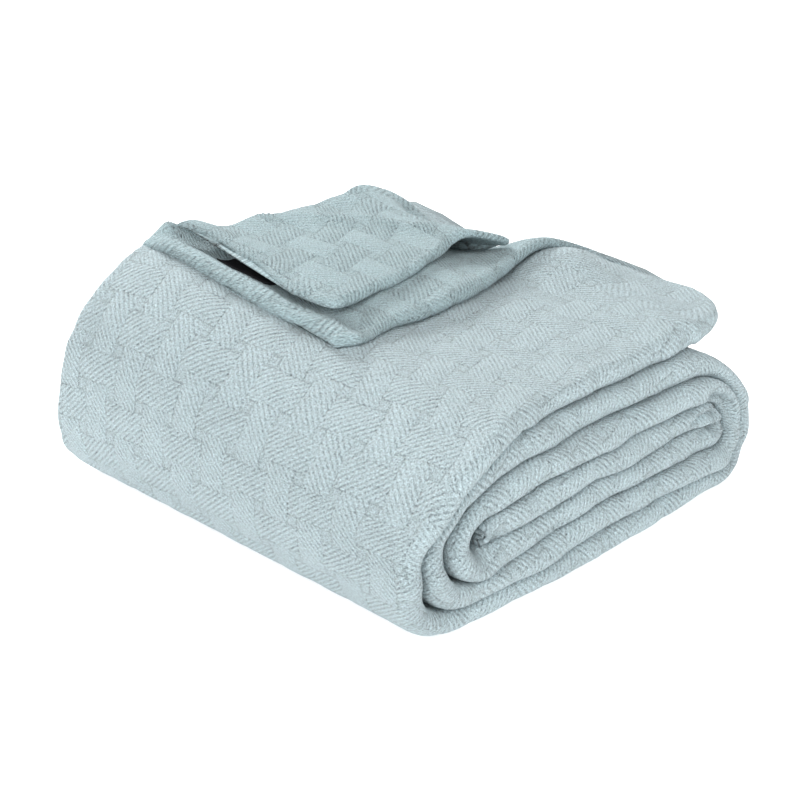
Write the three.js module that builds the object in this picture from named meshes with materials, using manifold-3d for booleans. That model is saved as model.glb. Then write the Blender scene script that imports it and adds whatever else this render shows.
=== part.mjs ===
// A basket-weave cotton throw, folded lengthwise into a strip of four plies, then folded over and over
// into a pile of seven runs, with the end of the strip turned back on top and a small label sewn in it.
// Millimetres, Z up. X runs along the strip, Y across it, and the near end, where each run shows a soft
// fold, is at low Y. The origin is on the floor under the middle of the pile.

import * as THREE from 'three';
import * as BufferGeometryUtils from 'three/addons/utils/BufferGeometryUtils.js';
import Module from 'manifold-3d';

const wasm = await Module();
wasm.setup();

// The strip: four plies of cloth, two folds at the near edge, one fold and two free edges at the far one
const STRIP_WIDTH = 270;
const CLOTH = 2.6; // one ply, as thick as the weave's blocks make it
const PLY_PITCH = 3.4;
const STRIP_THICKNESS = 3 * PLY_PITCH + CLOTH;
const RUN_PITCH = 13.4; // from one run of the strip to the next, upwards
const FREE_EDGES_SHORT = [3, 8]; // how far the two free edges stop short of the far fold

// Where the runs turn
const LEFT_TURN_X = 28;
const LEFT_TURN_STEP = 3; // each inner turn lies this much further in, so the turns are loose
const RIGHT_TURN_X = 225;
const CORE_START_X = 37; // the inner end of the cloth
const TURN_STEPS = [5, 5, 6, 7, 8, 9]; // from the core outwards
const RUN_PLACES = [50, 90, 145, 200]; // where every run has a section
const PLY_PLACES = [65, 130, 200]; // where every ply has a point across the strip
const PLY_LEAST = 10; // how close two such points come where the near edge is drawn in

// How the pile has settled
const FAR_RISE = { left: 0.19, right: -0.1, from: 130, to: 262 }; // the far end is looser, but at the right
const LEFT_SLUMP = { from: 62, to: -20, near: 0.3, far: 0.22 };
const RIGHT_SAG = { from: 150, to: 262, near: 105, far: 275, by: 0.11 }; // a hollow in the top, to the right
const RIGHT_SLUMP = { from: 205, to: 268, near: 0.27, far: 0.27 };
const LEFT_FLARE = { near: -8, far: 1 }; // how far the left turns spread at each end

// One row for each run, in the order that the strip takes, from the core outwards. The level counts
// from the floor, and the other columns say where the near edge lies at the run's left, middle and
// right, across the pile.
const RUNS = [
  { name: 'core', level: 3, nearLeft: -11, nearMiddle: -6, nearRight: -1 },
  { name: 'under core', level: 2, nearLeft: -12, nearMiddle: -7, nearRight: -3 },
  { name: 'over core', level: 4, nearLeft: -7, nearMiddle: -4, nearRight: -1 },
  { name: 'second', level: 1, nearLeft: -13, nearMiddle: -11, nearRight: -6 },
  { name: 'upper', level: 5, nearLeft: -3, nearMiddle: 3, nearRight: 6 },
  { name: 'bottom', level: 0, nearLeft: -11, nearMiddle: -12, nearRight: -6 },
  { name: 'top', level: 6, nearLeft: -7, nearMiddle: 9, nearRight: 12 },
];
const MIDDLE_X = 126;

// The strip's last stretch, from the right end of the top run: it turns up and back on itself, and its
// near edge is drawn in round the corner. Height is that of the middle of the strip above the top
// run's upper face.
const TURNED_BACK = [
  { x: 243, height: -6.1, near: 16, far: 276, thickness: 12, steps: 1 },
  { x: 256, height: -5.6, near: 23, far: 275, thickness: 10.6, steps: 2 },
  { x: 266.5, height: -4.6, near: 35, far: 273, thickness: 9, steps: 2 },
  { x: 273.5, height: -2.2, near: 52, far: 272, thickness: 7.6, steps: 2 },
  { x: 276, height: 1.6, near: 72, far: 270, thickness: 7.2, steps: 2 },
  { x: 274, height: 5.4, near: 93, far: 268, thickness: 7.2, steps: 2 },
  { x: 267.5, height: 8, near: 109, far: 265, thickness: 7.8, steps: 2 },
  { x: 256, height: 9.2, near: 119, far: 262, thickness: 8.8, steps: 1 },
  { x: 241, height: 9.2, near: 125, far: 260, thickness: 9.2, steps: 1 },
  { x: 222, height: 8, near: 126, far: 259, thickness: 9.2, steps: 1 },
  { x: 190, height: 6.3, near: 117, far: 258, thickness: 9.2, steps: 1 },
  { x: 147, height: 5.7, near: 108, far: 257, thickness: 9.2, steps: 1 },
  { x: 105, height: 5.6, near: 105, far: 257, thickness: 9.2, steps: 1 },
  { x: 76, height: 5.4, near: 103, far: 258, thickness: 9.2, steps: 1 },
  { x: 62, height: 5.5, near: 104, far: 260, thickness: 9.6, steps: 1 },
  { x: 54, height: 5.7, near: 109, far: 260, thickness: 9, steps: 1 },
];

// The fold that lies on the turned-back stretch, from where it leaves that stretch. It is two plies.
const UPPER_FOLD = [
  { x: 170, height: 12, near: 158, far: 234, thickness: 5, raised: 0, steps: 1 },
  { x: 190, height: 12.4, near: 153, far: 234, thickness: 5, raised: 0, steps: 2 },
  { x: 201, height: 13, near: 143, far: 234, thickness: 5, raised: 0, steps: 2 },
  { x: 208, height: 14.8, near: 136, far: 234, thickness: 5, raised: 0, steps: 2 },
  { x: 210.5, height: 17.6, near: 131, far: 235, thickness: 5.2, raised: 0, steps: 2 },
  { x: 207.5, height: 20.6, near: 130, far: 236, thickness: 5.4, raised: 0, steps: 2 },
  { x: 199, height: 21.6, near: 131, far: 238, thickness: 6, raised: 0.2, steps: 1 },
  { x: 185, height: 19.6, near: 137, far: 240, thickness: 6.6, raised: 0.5, steps: 1 },
  { x: 160, height: 16.4, near: 137, far: 241, thickness: 6.6, raised: 1, steps: 1 },
  { x: 125, height: 15, near: 131, far: 240, thickness: 6.6, raised: 1, steps: 1 },
  { x: 92, height: 14.6, near: 128, far: 240, thickness: 6.6, raised: 1, steps: 1 },
  { x: 74, height: 14.6, near: 127, far: 242, thickness: 6.6, raised: 1, steps: 1 },
  { x: 66, height: 15, near: 130, far: 243, thickness: 6.4, raised: 1, steps: 1 },
];
const UPPER_PLY_PITCH = 4.4;
const UPPER_THICKNESS = UPPER_PLY_PITCH + CLOTH;
// The crest that crosses the upper fold, from its far left tip to the near right hump
const CREST = { fromX: 66, fromY: 240, toX: 182, toY: 143, height: 5, spread: 34 };

// The sewn label, inside the turned-back end
const LABEL = { length: 38, depth: 24, thickness: 0.8, nearY: 170, startX: 61, clear: 0.4 };

const FABRIC = new THREE.MeshStandardMaterial({ color: 0xb3c8ca, roughness: 0.95, metalness: 0 });
const LABEL_FABRIC = new THREE.MeshStandardMaterial({ color: 0x1b1b1f, roughness: 0.8, metalness: 0 });

function mix(a, b, t) {
  return a + (b - a) * t;
}

function smooth(from, to, value) {
  const t = Math.min(1, Math.max(0, (value - from) / (to - from)));
  return t * t * (3 - 2 * t);
}

function slump(side, x, y) {
  return 1 - mix(side.near, side.far, y / STRIP_WIDTH) * smooth(side.from, side.to, x);
}

function farRise(x, y) {
  const rise = mix(FAR_RISE.left, FAR_RISE.right, smooth(FAR_RISE.from, FAR_RISE.to, x));
  const across = Math.min(1, Math.max(0, (y - RIGHT_SAG.near) / (RIGHT_SAG.far - RIGHT_SAG.near)));
  const sag = RIGHT_SAG.by * smooth(RIGHT_SAG.from, RIGHT_SAG.to, x) * Math.sin(Math.PI * across) ** 2;
  return 1 + rise * smooth(0, STRIP_WIDTH, y) - sag;
}

// The height of the top run's upper face at a place
function topFace(x, y) {
  return (6 * RUN_PITCH + STRIP_THICKNESS) * farRise(x, y) * slump(LEFT_SLUMP, x, y);
}

// Moves a point of the neat pile to where it has settled
function settle(x, y, z, free) {
  const right = free ? 1 : slump(RIGHT_SLUMP, x, y);
  const flare = mix(LEFT_FLARE.near, LEFT_FLARE.far, y / STRIP_WIDTH) * smooth(LEFT_SLUMP.from, LEFT_SLUMP.to, x);
  return [x + flare, y, z * farRise(x, y) * slump(LEFT_SLUMP, x, y) * right];
}

// Where a run's near edge lies, on the parabola through its three places
function nearEdge(run, x) {
  const u = (x - LEFT_TURN_X) / (RIGHT_TURN_X - LEFT_TURN_X);
  const m = (MIDDLE_X - LEFT_TURN_X) / (RIGHT_TURN_X - LEFT_TURN_X);
  return run.nearLeft * ((u - m) * (u - 1)) / m
    + run.nearMiddle * (u * (u - 1)) / (m * (m - 1))
    + run.nearRight * (u * (u - m)) / (1 - m);
}

// The sections' outlines. A ply or a fold is a list of places across the strip and through it.
function arc(centre, middle, radius, from, to, steps) {
  const places = [];
  for (let i = 0; i <= steps; i += 1) {
    const angle = mix(from, to, i / steps);
    places.push([centre + radius * Math.cos(angle), middle + radius * Math.sin(angle)]);
  }
  return places;
}

function ply(from, to, height) {
  const start = Math.min(from, to);
  const places = PLY_PLACES.map((y, i) => [Math.max(y, start + PLY_LEAST * (i + 1)), height]);
  return from < to ? places : places.reverse();
}

// Four plies, nested: the outer near fold joins the lowest and the highest, the inner one the other two
function fourPlies(near, far) {
  const half = PLY_PITCH / 2;
  const outer = 3 * half;
  const nearFold = near + outer + CLOTH / 2;
  const farFold = far - half - CLOTH / 2;
  return [
    [far - FREE_EDGES_SHORT[0], -outer],
    ...ply(far, nearFold, -outer),
    ...arc(nearFold, 0, outer, -Math.PI / 2, -1.5 * Math.PI, 4),
    ...ply(nearFold, farFold, outer),
    ...arc(farFold, 2 * half, half, Math.PI / 2, -Math.PI / 2, 3),
    ...ply(farFold, nearFold, half),
    ...arc(nearFold, 0, half, Math.PI / 2, 1.5 * Math.PI, 3),
    ...ply(nearFold, far, -half),
    [far - FREE_EDGES_SHORT[1], -half],
  ];
}

// Two plies joined by one near fold, open at the far edge
function twoPlies(near, far, pitch) {
  const half = pitch / 2;
  const nearFold = near + half + CLOTH / 2;
  return [
    [far, -half],
    ...ply(far, nearFold, -half),
    ...arc(nearFold, 0, half, -Math.PI / 2, -1.5 * Math.PI, 4),
    ...ply(nearFold, far, half),
    [far, half],
  ];
}

// Both faces of the cloth along a section's middle line, as one ring
function bothFaces(line, scale) {
  const upper = [];
  const lower = [];
  for (let i = 0; i < line.length; i += 1) {
    const before = line[Math.max(0, i - 1)];
    const after = line[Math.min(line.length - 1, i + 1)];
    const along = Math.hypot(after[0] - before[0], after[1] - before[1]);
    const side = [-(after[1] - before[1]) / along, (after[0] - before[0]) / along];
    upper.push([line[i][0] + side[0] * CLOTH / 2, (line[i][1] + side[1] * CLOTH / 2) * scale]);
    lower.push([line[i][0] - side[0] * CLOTH / 2, (line[i][1] - side[1] * CLOTH / 2) * scale]);
  }
  return [...upper, ...lower.reverse()];
}

// A solid from rings of points, one ring for each place along the strip. Each four-cornered facet is
// split the same way across the pile, so that the plies and runs nest.
function sweep(rings) {
  const count = rings[0].length;
  const half = count / 2;
  const points = rings.flat(2);
  const faces = [];
  for (let s = 0; s < rings.length - 1; s += 1) {
    for (let i = 0; i < count; i += 1) {
      const next = (i + 1) % count;
      const a = s * count + i;
      const b = s * count + next;
      const [from, to] = [rings[s][i], rings[s + 1][next]];
      if ((to[0] - from[0]) * (to[1] - from[1]) > 0) {
        faces.push(a, b + count, b, a, a + count, b + count);
      } else {
        faces.push(a, a + count, b, b, a + count, b + count);
      }
    }
  }
  const last = (rings.length - 1) * count;
  for (let i = 0; i < half - 1; i += 1) {
    const across = count - 1 - i;
    faces.push(i, across - 1, across, i, i + 1, across - 1);
    faces.push(last + i, last + across, last + across - 1, last + i, last + across - 1, last + i + 1);
  }
  const geometry = new THREE.BufferGeometry();
  geometry.setAttribute('position', new THREE.Float32BufferAttribute(points, 3));
  geometry.setIndex(faces);
  return geometry;
}

function toSolid(geometry) {
  const merged = BufferGeometryUtils.mergeVertices(geometry, 1e-4);
  return new wasm.Manifold(new wasm.Mesh({
    numProp: 3,
    vertProperties: new Float32Array(merged.attributes.position.array),
    triVerts: new Uint32Array(merged.index.array),
  }));
}

function toGeometry(solid) {
  const mesh = solid.getMesh();
  const geometry = new THREE.BufferGeometry();
  geometry.setAttribute('position', new THREE.Float32BufferAttribute(mesh.vertProperties, 3));
  geometry.setIndex(Array.from(mesh.triVerts));
  geometry.computeVertexNormals();
  return geometry;
}

function leftTurnX(run, next) {
  return LEFT_TURN_X + LEFT_TURN_STEP * (3 - Math.abs(next.level - run.level) / 2);
}

// The places along the spiral, from the core to the end of the top run: each has its middle, the way
// the strip heads there, and its near edge
function spiralPlaces() {
  const places = [];
  RUNS.forEach((run, i) => {
    const height = STRIP_THICKNESS / 2 + RUN_PITCH * run.level;
    const goesRight = i % 2 === 0;
    const next = RUNS[i + 1];
    const before = RUNS[i - 1];
    const leftX = goesRight ? (before ? leftTurnX(before, run) : CORE_START_X) : leftTurnX(run, next);
    const from = goesRight ? leftX : RIGHT_TURN_X;
    const to = goesRight ? RIGHT_TURN_X : leftX;
    const heading = goesRight ? 0 : Math.PI;
    const free = run === RUNS[RUNS.length - 1];
    const between = goesRight ? RUN_PLACES : [...RUN_PLACES].reverse();
    for (const x of [from, ...between, to]) {
      places.push({ x, z: height, heading, near: nearEdge(run, x), free });
    }
    if (next) {
      const rise = RUN_PITCH * (next.level - run.level) / 2;
      const turn = goesRight ? Math.sign(rise) : -Math.sign(rise);
      const nearHere = nearEdge(run, to);
      const nearThere = nearEdge(next, to);
      for (let s = 1; s < TURN_STEPS[i]; s += 1) {
        const part = s / TURN_STEPS[i];
        const angle = heading + turn * Math.PI * part;
        places.push({
          x: to + Math.abs(rise) * Math.sin(Math.PI * part) * (goesRight ? 1 : -1),
          z: height + rise * (1 - Math.cos(Math.PI * part)),
          heading: angle,
          near: mix(nearHere, nearThere, smooth(0, 1, part)),
          free: false,
        });
      }
    }
  });
  return places;
}

function settledRing(place) {
  const section = bothFaces(fourPlies(place.near, place.near + STRIP_WIDTH), 1);
  return section.map(([y, t]) => settle(
    place.x - Math.sin(place.heading) * t,
    y,
    place.z + Math.cos(place.heading) * t,
    place.free,
  ));
}

function crest(x, y, raised) {
  const dx = CREST.toX - CREST.fromX;
  const dy = CREST.toY - CREST.fromY;
  const length = Math.hypot(dx, dy);
  const across = ((x - CREST.fromX) * dy - (y - CREST.fromY) * dx) / length;
  return raised * CREST.height * Math.exp(-((across / CREST.spread) ** 2));
}

// A table's rows with others between them, on smooth curves through all the columns
function refined(table) {
  const rows = [];
  const last = table.length - 1;
  for (let i = 0; i < last; i += 1) {
    for (let s = 0; s < table[i].steps; s += 1) {
      const t = s / table[i].steps;
      const row = {};
      for (const column of Object.keys(table[i])) {
        const [p, a, b, q] = [i - 1, i, i + 1, i + 2].map((k) => table[Math.min(last, Math.max(0, k))][column]);
        row[column] = 0.5 * (2 * a + (b - p) * t + (2 * p - 5 * a + 4 * b - q) * t * t
          + (3 * a - p - 3 * b + q) * t * t * t);
      }
      rows.push(row);
    }
  }
  rows.push(table[last]);
  return rows;
}

// Rings along a table's rows, which lie on the top run's upper face
function tableRings(table, sectionOf, raisedBy) {
  const rows = refined(table);
  return rows.map((row, i) => {
    const before = rows[Math.max(0, i - 1)];
    const after = rows[Math.min(rows.length - 1, i + 1)];
    const heading = Math.atan2(after.height - before.height, after.x - before.x);
    return sectionOf(row).map(([y, t]) => {
      const x = row.x - Math.sin(heading) * t;
      const z = topFace(x, y) + row.height + Math.cos(heading) * t;
      return [x, y, z + raisedBy(row, x, y)];
    });
  });
}

function makeThrow() {
  const rings = spiralPlaces().map(settledRing);
  const strip = (row) => bothFaces(fourPlies(row.near, row.far), row.thickness / STRIP_THICKNESS);
  rings.push(...tableRings(TURNED_BACK, strip, () => 0));
  const fold = (row) => bothFaces(twoPlies(row.near, row.far, UPPER_PLY_PITCH), row.thickness / UPPER_THICKNESS);
  const upper = tableRings(UPPER_FOLD, fold, (row, x, y) => crest(x, y, row.raised));
  return toSolid(sweep(rings)).add(toSolid(sweep(upper)));
}

function makeLabel() {
  const plate = new THREE.BoxGeometry(LABEL.depth, LABEL.length, LABEL.thickness, 3, 4, 1);
  plate.deleteAttribute('normal');
  plate.deleteAttribute('uv');
  const places = plate.attributes.position;
  const rows = TURNED_BACK.slice(-4).reverse();
  for (let i = 0; i < places.count; i += 1) {
    const x = places.getX(i) + LABEL.startX + LABEL.depth / 2;
    const y = places.getY(i) + LABEL.nearY + LABEL.length / 2;
    const k = Math.min(rows.length - 2, Math.max(0, rows.findIndex((row) => row.x > x) - 1));
    const part = (x - rows[k].x) / (rows[k + 1].x - rows[k].x);
    const cloth = mix(rows[k].height + rows[k].thickness / 2, rows[k + 1].height + rows[k + 1].thickness / 2, part);
    const lift = LABEL.clear + LABEL.thickness / 2 + places.getZ(i);
    places.setXYZ(i, x, y, topFace(x, y) + cloth + lift);
  }
  return toSolid(plate);
}

// Puts the middle of the pile's box on the origin
const clothSolid = makeThrow();
const labelSolid = makeLabel();
const box = clothSolid.boundingBox();
const middle = [(box.min[0] + box.max[0]) / 2, (box.min[1] + box.max[1]) / 2, box.min[2]];

function named(name, solid, material) {
  const geometry = toGeometry(solid);
  geometry.translate(-middle[0], -middle[1], -middle[2]);
  const mesh = new THREE.Mesh(geometry, material);
  mesh.name = name;
  return mesh;
}

const object = new THREE.Group();
object.add(named('throw', clothSolid, FABRIC));
object.add(named('label', labelSolid, LABEL_FABRIC));

export default object;
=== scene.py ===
"""Dresses the folded cotton throw: its basket-weave cloth, its sewn label, and the stage it lies on."""

import math

import bmesh
import bpy
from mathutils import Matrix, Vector


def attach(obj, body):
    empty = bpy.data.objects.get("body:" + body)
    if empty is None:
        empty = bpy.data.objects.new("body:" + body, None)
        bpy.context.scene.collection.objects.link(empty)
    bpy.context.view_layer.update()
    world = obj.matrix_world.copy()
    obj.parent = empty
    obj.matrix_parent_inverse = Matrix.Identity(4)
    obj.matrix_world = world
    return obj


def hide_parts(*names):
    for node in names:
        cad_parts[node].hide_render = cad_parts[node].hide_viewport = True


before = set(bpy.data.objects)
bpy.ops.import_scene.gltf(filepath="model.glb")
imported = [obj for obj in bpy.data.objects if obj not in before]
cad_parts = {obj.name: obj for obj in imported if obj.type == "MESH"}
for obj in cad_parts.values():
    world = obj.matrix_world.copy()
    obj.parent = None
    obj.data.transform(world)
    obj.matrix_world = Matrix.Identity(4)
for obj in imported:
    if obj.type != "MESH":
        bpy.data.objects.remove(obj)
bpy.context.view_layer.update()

bl_info = {
    "name": "Folded cotton throw",
    "version": (1, 0, 0),
    "blender": (4, 5, 0),
    "location": "3D View > Sidebar > Throw",
    "description": "Builds a basket-weave throw folded into a pile, with its label and a plain stage",
    "category": "Add Mesh",
}

MM = 0.001
SAME_PLACE = 0.001 * MM
WEAVE_MAP = "Weave"
TURNED_BACK_MAP = "Turned back"

# The folds below are given in millimetres from the near left corner of the pile's floor. This is the
# middle of the pile, which lies on the object's origin.
PILE_MIDDLE = (126.809, 134.553)

# The strip: four plies of cloth, two folds at the near edge, one fold and two free edges at the far one
STRIP_WIDTH = 270
CLOTH = 2.6
PLY_PITCH = 3.4
STRIP_THICKNESS = 3 * PLY_PITCH + CLOTH
FREE_EDGES_SHORT = (3, 8)

# The pile: seven runs of the strip, one on another
RUN_PITCH = 13.4
TOP_LEVEL = 6
TOP_HEIGHT = TOP_LEVEL * RUN_PITCH + STRIP_THICKNESS

# Where the runs turn
LEFT_TURN_X = 28
LEFT_TURN_STEP = 3
RIGHT_TURN_X = 225
CORE_START_X = 37
MIDDLE_X = 126

# How the pile has settled. A form with two values of x, y or z starts at the first and is full at the
# second. Each "by" is a share of the height, except the heel's, which is a height. The hump's reaches are
# along x, towards the near face and away from it.
FAR_RISE = {"x": (130, 262), "left": 0.19, "right": -0.1}
RIGHT_CORNER = {"x": (150, 210), "y": (195, 262), "by": 0.105}
RIGHT_SAG = {"x": (150, 262), "y": (105, 275), "by": 0.11}
RIGHT_HUMP = {"x": 236, "y": 121, "reach": (27, 33, 44), "by": 0.17}
RIGHT_HEEL = {"x": (236, 264), "z": (45, 0), "by": 1}
RIGHT_SLUMP = {"x": (205, 268), "near": 0.2, "far": 0.24}
LEFT_SLUMP = {"x": (62, -20), "near": 0.3, "far": 0.15}
LEFT_SHOULDER = {"x": 40, "reach": 27, "y": (120, 250), "by": 0.1}
# Small waves of the top: by what share, over what lengths along and across, from where
TOP_WAVES = ((0.006, 17, 29, 0.5), (0.004, 9.5, -14, 1.0), (0.0025, -6.4, 8.2, 2.0))
# How far the rounded left side strays along x, by height: at its near end and at its far end
LEFT_PROFILE_NEAR = ((0, -7.5), (16, -5), (32, -1), (60, 0), (93, -3))
LEFT_PROFILE_FAR = ((0, -14), (15, -7), (30, -1.5), (53, 3.5), (66, 3), (80, 0), (94, -5))

# How the near face strays outwards and upwards: by how much, over what lengths along and up, from where.
# It does so near the face alone, and less at the floor.
NEAR_REACH = (90, 15)
OFF_FLOOR = (2, 20)
FLOOR_SHARE = 0.4
NEAR_WAVES = ((1.3, 24, 9, 0.4), (0.9, 11.5, 5.2, 2.1), (0.5, 6.2, 14, 4.0))
RISE_WAVES = ((0.9, 26, 21, 1.0), (0.55, 12.5, 17, 3.3))
# Dents and creases in the near face: from where, how far along and up, how deep and how wide
DENTS = (
    ((208, 46), (24, 2), 8.0, 2.2),
    ((216, 36), (20, 5), 7.0, 2.0),
    ((222, 59), (16, -4), 6.0, 2.0),
    ((238, 54), (8, -16), 6.0, 2.6),
    ((196, 54), (22, -2), 4.0, 1.8),
    ((150, 66), (26, 2), 3.5, 1.8),
    ((118, 50), (22, -2), 3.0, 1.8),
    ((76, 30), (24, 2), 3.0, 2.0),
    ((40, 58), (14, 6), 3.0, 3.0),
    ((30, 38), (16, 8), 4.0, 3.0),
    ((22, 22), (16, -5), 2.5, 3.0),
    ((96, 62), (22, 3), 1.6, 3.0),
    ((128, 36), (30, 3), 1.4, 3.0),
    ((60, 76), (16, 5), 2.0, 3.4),
    ((166, 26), (26, 4), 1.5, 3.0),
)
DENT_ENDS = (6, 4)

# One row for each run of the strip, from the core outwards: its level from the floor, where its near
# edge lies at its left, middle and right, and how far apart its rows and those of the turn after it are
RUN_COLUMNS = ("level", "near_left", "near_middle", "near_right", "row_step", "turn_step")
RUNS = (
    (3, -11, -6, -1, 7.0, 4.0),
    (2, -12, -7, -3, 7.0, 4.0),
    (4, -7, -4, -1, 7.0, 4.5),
    (1, -12, -10, -7.5, 7.0, 5.0),
    (5, -3, 3, 6, 7.0, 3.0),
    (0, -8, -10, -5, 7.0, 3.0),
    (TOP_LEVEL, -7, 9, 12, 3.0, 3.0),
)
FEWEST_TURN_ROWS = 8

# The strip's last stretch, which turns up and back over the top run. Its near edge stands higher by
# "lifted" than the rest of its row, and the row bulges by "bulge" inside the bend.
END_COLUMNS = ("x", "height", "near", "far", "thickness", "lifted", "bulge")
TURNED_BACK = (
    (225, -6.4, 12, 282, 12.8, 0, 0),
    (243, -6.1, 16, 272, 12, 0, 2),
    (256, -5.6, 23, 271, 10.6, 0, 2),
    (266.5, -5, 35, 270, 8.6, 0, 1),
    (273, -4, 52, 270, 7.2, 0, 0),
    (275.5, -3, 72, 270, 6.4, 0, 0),
    (273.5, -1.2, 93, 269, 6, 0, 0),
    (267.5, 0.6, 109, 268, 6, 0, 0),
    (256, 2.4, 118, 268, 6.6, 0, 0),
    (241, 3.8, 125, 268, 7.2, 0, 0),
    (222, 4.8, 128, 267, 8, 1, 0),
    (205, 5.8, 127, 266, 9, 1.2, 0),
    (190, 6.2, 122, 262, 9.2, 1, 0),
    (170, 5.8, 115, 258, 9.2, 0, 0),
    (147, 5.7, 109, 257, 9.2, 0, 0),
    (122, 5.6, 107, 257, 9.2, 0, 0),
    (100, 5, 108.5, 257, 8.2, 0, 0),
    (84, 3.7, 107.5, 258.5, 6.2, 0, 0),
    (75, 2.9, 106.5, 261.5, 4.6, 0, 0),
    (68, 2.9, 105.5, 265, 4.8, 0, 0),
    (62, 3.7, 105, 267.5, 6.6, 0, 0),
    (58, 4.1, 106, 269, 7.4, 0, 0),
    (55, 3.7, 108, 270, 6.6, 0, 0),
    (53, 2.8, 110, 270.5, 4.6, 0, 0),
    (52.1, 1.9, 112, 271, 2.4, 0, 0),
    (52, 1.2, 113, 271, 1, 0, 0),
)
END_ROW_STEP = 2.6
# How far in from the near edge the rows are lifted, and where by y their bulge starts, is full and ends
LIFT_REACH = 70
BULGE = (55, 108, 122, 165)
# Where, past the top run, the strip's other face is up
OTHER_FACE_UP = (60, 90)
# Its far edge stands up beside the upper plies' far corner
FAR_CORNER = {"x": (216, 238, 252, 268), "y": (212, 246), "by": 8}
# How far the bend strays along x, by y, and where along x it does so
BEND_WAVE = ((200, 0), (225, -2), (262, -7))
BEND_REACH = (232, 262)
# How far the hem at its end strays along x, by y, and how far from the hem it does so
HEM_WAVE = ((104, 4), (113, 1), (119, 2), (128, 5), (141, 2), (150, 0), (271, 0))
HEM_REACH = (78, 58)
# The far side of the pocket behind the hem: it drops at the hem, rises past it and then ends
POCKET_SIDE = {"y": (248, 264), "drop": -3.5, "rise": 10, "rises": (55, 68), "ends": (112, 88)}

# The two plies that lie on the turned-back stretch
FOLD_COLUMNS = ("x", "height", "near", "far", "thickness", "raised")
UPPER_FOLD = (
    (170, 12.6, 200, 234, 5, 0),
    (190, 12.8, 195, 234, 5, 0),
    (201, 13, 184, 234, 4.6, 0),
    (208, 13.2, 162, 235, 4.6, 0),
    (213, 13.4, 146, 236, 4.2, 0),
    (212.5, 14.8, 138, 241, 3.8, 0),
    (206, 18.6, 139, 243, 4, 0.3),
    (194, 22.2, 144, 241, 4.4, 0.4),
    (182, 20.8, 148, 240, 5.4, 0.7),
    (170, 17.2, 146, 240, 6.6, 0.9),
    (156, 15.2, 141, 240, 6.6, 1),
    (140, 14.2, 137, 240, 6.6, 1),
    (120, 13.7, 133, 240, 6.6, 1),
    (96, 13.5, 130.5, 241, 6.6, 1),
    (82, 13.4, 129, 245, 6.6, 1),
    (75, 13.2, 128.5, 249.5, 6.4, 1),
    (70.5, 12.7, 129, 252.5, 5, 1),
    (67.6, 12, 130, 254, 3, 1),
    (66.2, 11.5, 131.5, 255, 1.4, 1),
    (66, 11.3, 133, 255, 0.5, 1),
)
FOLD_ROW_STEP = 2.3
UPPER_PLY_PITCH = 4.4
# How far their hem strays along x and how far it rises, by y, and how far from the hem they do so
UPPER_HEM_WAVE = (
    (130, 1), (143, -2), (157, -4), (170, -2), (186, 2), (208, 4), (230, 6), (246, 3), (257, 0),
)
UPPER_HEM_REACH = (88, 66)
UPPER_HEM_RISE = ((160, 0), (180, 1), (204, 3.4), (230, 5.8), (256, 5.6))
UPPER_RISE_REACH = (100, 66)
# The back of the upper plies sinks behind the ridge, and their far corner reaches further along
UPPER_BACK = {"x": (200, 170), "y": (175, 238), "by": -4}
UPPER_CORNER = {"x": (190, 211), "y": (212, 242), "by": 8}
# The ridge on the upper plies, from the hem's far tip to where the fold turns: its y by x. It runs askew,
# so the distance from it is a share of the distance along y.
CREST_LINE = ((68, 256), (104, 243), (129, 229), (146, 205), (176, 166), (193, 150))
CREST = {"x": (80, 130), "start": 1.5, "height": 6.2, "front": 13, "behind": 3, "askew": 0.75}

# The stretch that is the far fold of four plies, and the one that is the near fold of two plies
FAR_FOLD = 3
NEAR_FOLD = 1

# How each stretch of a section is divided: steps on the face that shows and on the one inside
RUN_STEPS = ((9, 7), (11, 6), (84, 10), (5, 3), (7, 7), (5, 3), (7, 7))
END_STEPS = ((56, 7), (14, 6), (34, 10), (5, 3), (7, 7), (5, 3), (7, 7))
TWO_PLY_STEPS = ((46, 10), (10, 5), (12, 6))
EDGE_ROUND = (0.0, 0.18, 0.55)
# Where, past the top run, the fine columns pass from the upper ply to the lowest
END_SLIDE = (50, 90)
# How finely a table's curves are followed before they are cut into even rows
CURVE_STEPS = 16

# The label: its near left corner, its size, how far its middle stands off the cloth, its thickness and
# the depth of its rib
LABEL = {"x": 63, "y": 178, "along": 24, "across": 39, "off_cloth": 1.1, "thickness": 0.6, "rib_depth": 0.1}
LABEL_STEPS = (12, 20)
# How far along x the cloth under the label may lie
UNDER_LABEL = 120


def mix(a, b, t):
    return a + (b - a) * t


def smooth(start, end, value):
    """0 before the start, 1 past the end and a soft step between them. The end may be the lower one."""
    t = min(1.0, max(0.0, (value - start) / (end - start)))
    return t * t * (3 - 2 * t)


def records(columns, table):
    """The table's rows as dicts, so that each value is read by its name."""
    return [dict(zip(columns, row)) for row in table]


def slump(side, x, y):
    """The share of the height that is left where one side of the pile has sunk."""
    return 1 - mix(side["near"], side["far"], y / STRIP_WIDTH) * smooth(*side["x"], x)


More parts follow.
